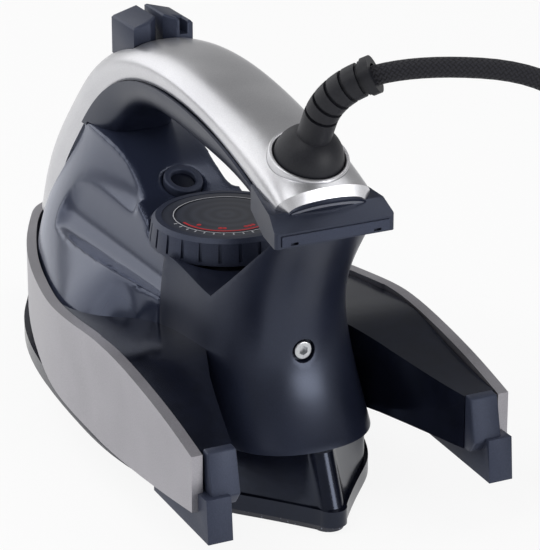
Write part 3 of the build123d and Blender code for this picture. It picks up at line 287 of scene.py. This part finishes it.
def grained(name, dark, light, grain, rough, relief, **values):
    """A material whose colour and roughness drift between two values over grains of this size in metres,
    with a relief of this depth in metres on the same grains."""
    material, tree, shader = new_material(name, **values)
    place = add(tree, "ShaderNodeTexCoord")
    grains = add(tree, "ShaderNodeTexNoise", {
        "Vector": place.outputs["Object"], "Scale": 1 / grain, "Detail": 3.0})
    clouds = add(tree, "ShaderNodeTexNoise", {
        "Vector": place.outputs["Object"], "Scale": 1 / CLOUD_SIZE, "Detail": 2.0})
    both = add(tree, "ShaderNodeMath", {
        0: grains.outputs["Fac"], 1: clouds.outputs["Fac"]}, operation="ADD")
    share = add(tree, "ShaderNodeMapRange", {
        "Value": both.outputs[0], "From Min": GRAIN_SPAN[0], "From Max": GRAIN_SPAN[1]})
    colour = add(tree, "ShaderNodeMix", {
        "Factor": share.outputs[0], "A": linear(dark), "B": linear(light)}, data_type="RGBA")
    dull = add(tree, "ShaderNodeMapRange", {
        "Value": clouds.outputs["Fac"], "From Min": CLOUD_SPAN[0], "From Max": CLOUD_SPAN[1],
        "To Min": rough - ROUGH_DRIFT, "To Max": rough + ROUGH_DRIFT})
    bump = add(tree, "ShaderNodeBump", {"Distance": relief, "Height": grains.outputs["Fac"]})
    tree.links.new(colour.outputs["Result"], shader.inputs["Base Color"])
    tree.links.new(dull.outputs[0], shader.inputs["Roughness"])
    tree.links.new(bump.outputs[0], shader.inputs["Normal"])
    return material


def smoked_material():
    """Polycarbonate, moulded in a polished tool and tinted smoke grey: dark and glassy, with the tank's far
    wall showing through it dimly."""
    material, tree, shader = new_material(
        "smoked_polycarbonate", transmission_weight=0.15, ior=1.58, specular_tint=linear(NAVY_SHEEN),
        coat_weight=0.4, coat_roughness=0.16, coat_tint=linear(NAVY_SHEEN))
    place = add(tree, "ShaderNodeTexCoord")
    flow = add(tree, "ShaderNodeTexNoise", {
        "Vector": place.outputs["Object"], "Scale": 1 / FLOW_SIZE, "Detail": 1.0})
    colour = add(tree, "ShaderNodeMix", {
        "Factor": flow.outputs["Fac"], "A": linear("#2A2E3D"), "B": linear("#343948")}, data_type="RGBA")
    dull = add(tree, "ShaderNodeMapRange", {
        "Value": flow.outputs["Fac"], "To Min": FLOW_ROUGH[0], "To Max": FLOW_ROUGH[1]})
    tree.links.new(colour.outputs["Result"], shader.inputs["Base Color"])
    tree.links.new(dull.outputs[0], shader.inputs["Roughness"])
    return material


def dial_material():
    """ABS disc, turned to a concentric lay: satin dark grey, with a soft fan of light round its middle."""
    material, tree, shader = new_material("turned_grey_abs", roughness=0.4, specular_ior_level=0.5)
    place = add(tree, "ShaderNodeTexCoord")
    centred = add(tree, "ShaderNodeMapping", {
        "Vector": place.outputs["Object"], "Location": (-DIAL_X, 0, 0)})
    rings = add(tree, "ShaderNodeTexWave", {
        "Vector": centred.outputs[0], "Scale": tau / (RING_TURNS * RING_PITCH), "Distortion": 0.0},
        wave_type="RINGS", rings_direction="Z")
    colour = add(tree, "ShaderNodeMix", {
        "Factor": rings.outputs["Fac"], "A": linear("#2B2E39"), "B": linear("#383C48")}, data_type="RGBA")
    bump = add(tree, "ShaderNodeBump", {"Distance": RING_RELIEF, "Height": rings.outputs["Fac"]})
    tree.links.new(colour.outputs["Result"], shader.inputs["Base Color"])
    tree.links.new(bump.outputs[0], shader.inputs["Normal"])
    return material


def enamel_material():
    """Vitreous enamel, fired on the sole: a deep blue-grey glaze with pale specks the size of sand."""
    material, tree, shader = new_material(
        "speckled_enamel", roughness=0.22, coat_weight=0.5, coat_roughness=0.05)
    place = add(tree, "ShaderNodeTexCoord")
    specks = add(tree, "ShaderNodeTexVoronoi", {"Vector": place.outputs["Object"], "Scale": 1 / SPECK_PITCH})
    share = add(tree, "ShaderNodeMapRange", {
        "Value": specks.outputs["Distance"], "From Min": SPECK_EDGE[0], "From Max": SPECK_EDGE[1]})
    colour = add(tree, "ShaderNodeMix", {
        "Factor": share.outputs[0], "A": linear("#8E93A8"), "B": linear("#23273A")}, data_type="RGBA")
    tree.links.new(colour.outputs["Result"], shader.inputs["Base Color"])
    return material


# ABS with silver lacquer: aluminium flakes under a clear coat, bright where it faces the light
silver_shell = grained(
    "silver_lacquered_abs", dark="#CDCDD1", light="#E0E0E3",
    grain=0.0004, rough=0.32, relief=0.00002,
    metallic=0.9, coat_weight=0.2, coat_roughness=0.15)
# ABS with pearl lacquer: a warmer, softer silver with no clear coat
silver_panel = grained(
    "pearl_lacquered_abs", dark="#9F9DA3", light="#B5B3B9",
    grain=0.0005, rough=0.36, relief=0.00002,
    metallic=0.75)
# ABS moulded in a polished tool: blue-black, with a clear reflection that ripples a little
dark_gloss = grained(
    "polished_navy_abs", dark="#0B0D16", light="#121522",
    grain=0.004, rough=0.2, relief=0.00003,
    specular_ior_level=0.5, specular_tint=linear(NAVY_SHEEN))
# ABS moulded in a blasted tool: dark navy with a soft, wide shine
dark_satin = grained(
    "satin_navy_abs", dark="#141724", light="#1C2030",
    grain=0.0007, rough=0.34, relief=0.00002,
    specular_ior_level=0.7, specular_tint=linear(NAVY_SHEEN))
# Polypropylene moulded in a spark-eroded tool: slate grey with a fine dry grain
grey_soft = grained(
    "spark_grained_pp", dark="#2A2E3D", light="#353A4B",
    grain=0.0006, rough=0.44, relief=0.00004,
    specular_tint=linear(NAVY_SHEEN))
# Aluminium, die cast: pale grey metal with a pitted skin
cast_metal = grained(
    "die_cast_aluminium", dark="#8C8E93", light="#A9ABB0",
    grain=0.0012, rough=0.48, relief=0.00012,
    metallic=1.0)
# Steel, zinc plated: bright bluish metal with faint spangles
steel = grained(
    "zinc_plated_steel", dark="#B5B8BC", light="#D2D4D7",
    grain=0.001, rough=0.28, relief=0.00003,
    metallic=1.0)
# Brass, nickel plated: warm white metal, drawn smooth
plated_pins = grained(
    "nickel_plated_brass", dark="#BDB8AE", light="#D6D1C7",
    grain=0.0008, rough=0.2, relief=0.00002,
    metallic=1.0)
# Silicone rubber, press moulded: brick red and matt
seal_rubber = grained(
    "pressed_silicone", dark="#9C4630", light="#B0563C",
    grain=0.0008, rough=0.55, relief=0.00005)
# Soft PVC, injection moulded: black with a dull, slightly waxy skin
guard_rubber = grained(
    "soft_black_pvc", dark="#17181E", light="#22232A",
    grain=0.0007, rough=0.5, relief=0.00004,
    specular_ior_level=0.35)
# PBT with glass fibre, moulded: bone white with a fibrous skin
inner_plastic = grained(
    "glass_filled_pbt", dark="#CFC8B8", light="#E0DACB",
    grain=0.001, rough=0.5, relief=0.00004)
# Nylon tape, woven: black, dull, with a nap as fine as its weave
strap_weave = grained(
    "woven_nylon_tape", dark="#0D0D11", light="#202027",
    grain=WEAVE_PITCH, rough=0.7, relief=0.0001,
    specular_ior_level=0.2)
# Screen printing ink, laid thick: opaque, with a ragged matt face
red_ink = grained(
    "red_screen_ink", dark="#C2262E", light="#D8343A",
    grain=0.0005, rough=0.5, relief=0.00001)
pale_ink = grained(
    "pale_screen_ink", dark="#C9CAD0", light="#DADBE0",
    grain=0.0005, rough=0.5, relief=0.00001)

finishes = {
    "silver_shell": silver_shell,
    "silver_panel": silver_panel,
    "dark_gloss": dark_gloss,
    "smoked_tank": smoked_material(),
    "grey_soft": grey_soft,
    "dial_print": dial_material(),
    "enamel_sole": enamel_material(),
    "cast_metal": cast_metal,
    "steel": steel,
    "plated_pins": plated_pins,
    "seal_rubber": seal_rubber,
    "guard_rubber": guard_rubber,
    "braid": braid_material(),
    "inner_plastic": inner_plastic,
}
node_finishes = {
    **dict.fromkeys(SATIN_NODES, dark_satin),
    **dict.fromkeys(GLOSS_NODES, dark_gloss),
}


def smoothing():
    """A modifier's node tree: corners that touch are merged, faces shade smoothly, and edges that turn by
    more than the crease angle stay sharp."""
    tree = bpy.data.node_groups.new("smooth_to_creases", "GeometryNodeTree")
    tree.interface.new_socket("Geometry", in_out="INPUT", socket_type="NodeSocketGeometry")
    tree.interface.new_socket("Geometry", in_out="OUTPUT", socket_type="NodeSocketGeometry")
    given = add(tree, "NodeGroupInput")
    merged = add(tree, "GeometryNodeMergeByDistance", {
        "Geometry": given.outputs[0], "Distance": MERGE_DISTANCE})
    smooth = add(tree, "GeometryNodeSetShadeSmooth", {
        "Geometry": merged.outputs[0], "Shade Smooth": True}, domain="FACE")
    bend = add(tree, "GeometryNodeInputMeshEdgeAngle")
    crease = add(tree, "FunctionNodeCompare", {
        0: bend.outputs["Unsigned Angle"], 1: CREASE}, data_type="FLOAT", operation="GREATER_THAN")
    sharp = add(tree, "GeometryNodeSetShadeSmooth", {
        "Geometry": smooth.outputs[0], "Selection": crease.outputs[0], "Shade Smooth": False}, domain="EDGE")
    add(tree, "NodeGroupOutput", {0: sharp.outputs[0]})
    return tree


# Each node gets its finish, and the modifiers that round and shade its edges
smooth_tree = smoothing()
for part in frame["record"]["subparts"]:
    node = frame["nodes"][part["node"]]
    node.data.materials.clear()
    node.data.materials.append(node_finishes.get(part["node"], finishes[part["material_slot"]]))
    if part["node"] in EDGE_ROUNDS:
        node.modifiers.new("merged", "WELD").merge_threshold = MERGE_DISTANCE
        edge = node.modifiers.new("round_edges", "BEVEL")
        edge.width = EDGE_ROUNDS[part["node"]]
        edge.segments = EDGE_STEPS
        edge.limit_method = "ANGLE"
        edge.angle_limit = CREASE
    node.modifiers.new("smooth_to_creases", "NODES").node_group = smooth_tree
    if part["node"] in SOFT_NODES:
        cast = node.modifiers.new("cast_again", "REMESH")
        cast.mode = "VOXEL"
        cast.voxel_size = SOFT_NODES[part["node"]]
        cast.use_smooth_shade = True
        rounded = node.modifiers.new("rounded", "SMOOTH")
        rounded.iterations = SOFT_ROUNDS


# Power cord: one spline from the guard through the coil into the plug, and a tube round it
def coil_points():
    """The coil's turns: an angle that grows by a quarter turn per unit, a radius that goes in on the even
    layers and out on the odd ones by a pitch per turn, and a height that falls by a pitch at each layer's
    end. The corners of a quadratic spline stand outside its curve, so the radius is larger by that share,
    apart from the last one, which is on the curve. Gives the corners, the coil's middle and the way at its
    end: square to the radius, with the last layer's outward drift."""
    turn = pi + atan2(-COIL_PITCH / tau, COIL_RADIUS)
    start = np.array(CORD_ROUTE[-1]) + (0, -CORD_D, 0)
    middle = start[:2] - COIL_RADIUS * np.array((cos(turn), sin(turn)))
    stage = LAYER_QUARTERS + CLIMB_QUARTERS
    quarters = (COIL_LAYERS - 1) * stage + LAYER_QUARTERS - END_QUARTERS
    q = np.linspace(0, quarters, int(quarters * COIL_STEPS) + 1)
    layer = np.minimum(q // stage, COIL_LAYERS - 1)
    along = np.minimum(q - stage * layer, LAYER_QUARTERS)
    climb = q - stage * layer - along
    along = along + np.minimum(climb, CLIMB_QUARTERS - climb)
    inwards = np.where(layer % 2 == 0, along, LAYER_QUARTERS - along)
    share = climb / CLIMB_QUARTERS
    fall = share ** 2 * (3 - 2 * share)
    radius = COIL_RADIUS - COIL_PITCH * inwards / 4
    angle = turn + q * pi / 2
    out = np.array((cos(angle[-1]), sin(angle[-1]), 0))
    way = np.cross((0, 0, 1), out) * radius[-1] * pi / 2 + out * COIL_PITCH / 4
    radius[:-1] /= cos(pi / (4 * COIL_STEPS))
    z = COIL_LOWEST + COIL_PITCH * (COIL_LAYERS - 1 - layer - fall)
    points = np.stack([middle[0] + radius * np.cos(angle), middle[1] + radius * np.sin(angle), z], axis=1)
    return points, middle, way / np.linalg.norm(way)


def cord_path():
    """Points along the cord: a quadratic spline over the route, the coil and the tail. The tail leaves the
    coil straight, flat at first, eases up to the plug's height and ends inside the plug. Gives the points
    and the coil's middle."""
    coil, middle, way = coil_points()
    runs = (TAIL_FLAT, TAIL_FLAT + TAIL_EASE, TAIL_RUN - TAIL_EASE, TAIL_RUN, TAIL_RUN + CORD_D + PLUG_SEAT)
    tail = coil[-1] + np.outer(runs, way)
    tail[2:, 2] = PLUG_Z
    corners = np.concatenate([CORD_ROUTE, coil, tail])
    line = bpy.data.curves.new("cord_line", "CURVE")
    line.dimensions = "3D"
    line.resolution_u = LINE_STEPS
    spline = line.splines.new("NURBS")
    spline.points.add(len(corners) - 1)
    spline.points.foreach_set("co", np.column_stack([corners, np.ones(len(corners))]).ravel())
    spline.order_u = 3
    spline.use_endpoint_u = True
    line_object = bpy.data.objects.new("cord_line", line)
    line_mesh = bpy.data.meshes.new_from_object(line_object)
    points = np.empty(len(line_mesh.vertices) * 3)
    line_mesh.vertices.foreach_get("co", points)
    bpy.data.meshes.remove(line_mesh)
    bpy.data.objects.remove(line_object)
    return points.reshape(-1, 3), middle


def cord_tube(path):
    """A circle carried along the cord's line and square to it. Its zero angle leans to X on the free run and
    to Z in the coil, which is never along the line there. U goes once round, and V grows by one for each
    circumference along the line, so that a pattern on it is not stretched."""
    runs = np.linalg.norm(np.diff(path, axis=0), axis=1)
    along = np.concatenate([[0], np.cumsum(runs)])
    tangent = np.gradient(path, along, axis=0)
    tangent /= np.linalg.norm(tangent, axis=1, keepdims=True)
    share = np.clip((along - FREE_LENGTH + LEAN_RUN) / LEAN_RUN, 0, 1)[:, None]
    lean = (1 - share) * (1, 0, 0) + share * (0, 0, 1)
    side = lean - (lean * tangent).sum(axis=1, keepdims=True) * tangent
    side /= np.linalg.norm(side, axis=1, keepdims=True)
    other = np.cross(tangent, side)
    angle = np.arange(TUBE_SIDES) / TUBE_SIDES * tau
    circle = np.cos(angle)[None, :, None] * side[:, None] + np.sin(angle)[None, :, None] * other[:, None]
    u, v = np.meshgrid(np.arange(TUBE_SIDES + 1) / TUBE_SIDES, along / (pi * CORD_D))
    return grid_mesh("power_cord_tube", path[:, None] + circle * CORD_D / 2, np.stack([u, v], axis=-1))


def strap(path, coil_middle):
    """A flat oval section carried round a rectangle with round corners, which fits round the coil's turns
    where they pass it. Its corners are four arcs of one circle, each moved out to its own corner of the
    rectangle."""
    out = np.array((cos(TIE_ANGLE), sin(TIE_ANGLE), 0))
    across = np.array((-sin(TIE_ANGLE), cos(TIE_ANGLE), 0))
    place = path - np.append(coil_middle, 0)
    reach = place @ out
    held = (np.abs(place @ across) < TIE_WIDE) & (reach > 0) & (reach < COIL_RADIUS + CORD_D)
    inside = np.stack([reach[held], path[held, 2]], axis=1)
    middle = (inside.min(axis=0) + inside.max(axis=0)) / 2
    half = (np.ptp(inside, axis=0) + CORD_D + TIE_SPARE) / 2 - TIE_CORNER
    turn = (np.arange(TIE_STEPS + 1) + 0.5) / TIE_STEPS * tau
    ring = np.stack([np.cos(turn), np.sin(turn)], axis=1)
    section = np.arange(TUBE_SIDES) / TUBE_SIDES * tau
    depth = TIE_CORNER + TIE_THICK * (1 + np.sin(section)) / 2
    flat = middle + np.sign(ring)[:, None] * half + ring[:, None] * depth[None, :, None]
    width = TIE_WIDE / 2 * np.sign(np.cos(section)) * np.abs(np.cos(section)) ** TIE_SQUARE
    points = flat[..., :1] * out + flat[..., 1:] * (0, 0, 1) + width[None, :, None] * across
    return grid_mesh("coil_strap", points + np.append(coil_middle, 0))


path, coil_middle = cord_path()

tie = new_piece("coil_strap", strap(path, coil_middle), strap_weave)
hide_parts("cord_tie")
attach(tie, "iron")

cord = new_piece("braided_cord", cord_tube(path), finishes["braid"])
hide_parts("power_cord", "cord_coil")
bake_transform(cord)


# Dial print: a pale ring with ticks, and a red arc with one, two and three dots
def bands(spans):
    """Low ink bands, each given as its middle's x and y, two angles and two radii: a thin rectangle between
    the radii, carried along the arc from one angle to the other, which closes to a point at both ends."""
    x, y, start, stop, inner, outer = np.array(spans, float).T[:, :, None, None]
    turn = np.linspace(0, 1, INK_STEPS)[None, :, None]
    turn = np.concatenate([turn[:, :1], turn, turn[:, -1:]], axis=1)
    angle = np.radians(start + (stop - start) * turn)
    radius = np.concatenate([inner, outer, outer, inner], axis=2) + 0 * angle
    z = FACE_Z + np.array([-INK_SINK, -INK_SINK, INK_RISE, INK_RISE]) + 0 * radius
    points = np.stack([x + radius * np.cos(angle), y + radius * np.sin(angle), z], axis=-1)
    points[:, [0, -1]] = points[:, [0, -1]].mean(axis=2, keepdims=True)
    return points


dot_angles = np.radians(DOT_ANGLES)
dot_places = np.stack([DIAL_X + DOT_CIRCLE * np.cos(dot_angles), DOT_CIRCLE * np.sin(dot_angles)], axis=1)
tick_angles = range(SCALE_SPAN[0], SCALE_SPAN[1] + 1, TICK_STEP)
scale = [(DIAL_X, 0, 0, 360, *SCALE_RING)]
scale += [(DIAL_X, 0, angle - TICK_HALF, angle + TICK_HALF, *TICK_RING) for angle in tick_angles]
marks = [(DIAL_X, 0, *SCALE_SPAN, *SCALE_ARC)]
marks += [(x, y, 0, 360, 0, DOT_RADIUS) for x, y in dot_places]
for name, spans, ink in (("dial_scale", scale, pale_ink), ("dial_marks", marks, red_ink)):
    mesh = grid_mesh(name, bands(spans), smooth=False)
    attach(new_piece(name, mesh, ink), "temperature_dial")


# Floor and light: white paper under the iron, round lamps that face it, and a world that fades upwards
def floor_material():
    """Matt white paper: mostly plain white to the camera and in reflections, with a faint part of each
    shadow."""
    material = bpy.data.materials.new("white_paper")
    material.use_nodes = True
    tree = material.node_tree
    tree.nodes.clear()
    ray = add(tree, "ShaderNodeLightPath")
    mirrored = add(tree, "ShaderNodeMath", {
        0: ray.outputs["Is Glossy Ray"], 1: ray.outputs["Is Transmission Ray"]}, operation="MAXIMUM")
    mirrored = add(tree, "ShaderNodeMath", {0: mirrored.outputs[0], 1: FLOOR_MIRROR}, operation="MULTIPLY")
    white = add(tree, "ShaderNodeMath", {
        0: ray.outputs["Is Camera Ray"], 1: FLOOR_GLOW, 2: mirrored.outputs[0]}, operation="MULTIPLY_ADD")
    paper = add(tree, "ShaderNodeBsdfDiffuse", {"Color": linear("#F4F4F4")})
    glow = add(tree, "ShaderNodeEmission", {"Color": (1, 1, 1, 1), "Strength": 1.0})
    mix = add(tree, "ShaderNodeMixShader", {0: white.outputs[0], 1: paper.outputs[0], 2: glow.outputs[0]})
    add(tree, "ShaderNodeOutputMaterial", {0: mix.outputs[0]})
    return material


corner = np.array([[(-1, -1, 0), (1, -1, 0)], [(-1, 1, 0), (1, 1, 0)]], float) * FLOOR_HALF
floor = bpy.data.objects.new("floor", grid_mesh("floor", corner, closed=False))
floor.data.materials.append(floor_material())
scene.collection.objects.link(floor)

for name, place, size, power in LAMPS:
    lamp = bpy.data.lights.new(name, "AREA")
    lamp.shape = "DISK"
    lamp.size = size
    lamp.energy = power
    lamp_object = bpy.data.objects.new(name, lamp)
    lamp_object.location = place
    lamp_object.rotation_euler = (CAMERA_TARGET - Vector(place)).to_track_quat("-Z", "Y").to_euler()
    scene.collection.objects.link(lamp_object)

world = bpy.data.worlds.new("studio")
world.use_nodes = True
sky = world.node_tree
aim = add(sky, "ShaderNodeTexCoord")
rise = add(sky, "ShaderNodeSeparateXYZ", {0: aim.outputs["Generated"]})
level = add(sky, "ShaderNodeMapRange", {
    "Value": rise.outputs["Z"], "To Min": WORLD_LOW, "To Max": WORLD_HIGH})
sky.nodes["Background"].inputs["Color"].default_value = linear("#FFFFFF")
sky.links.new(level.outputs[0], sky.nodes["Background"].inputs["Strength"])
scene.world = world
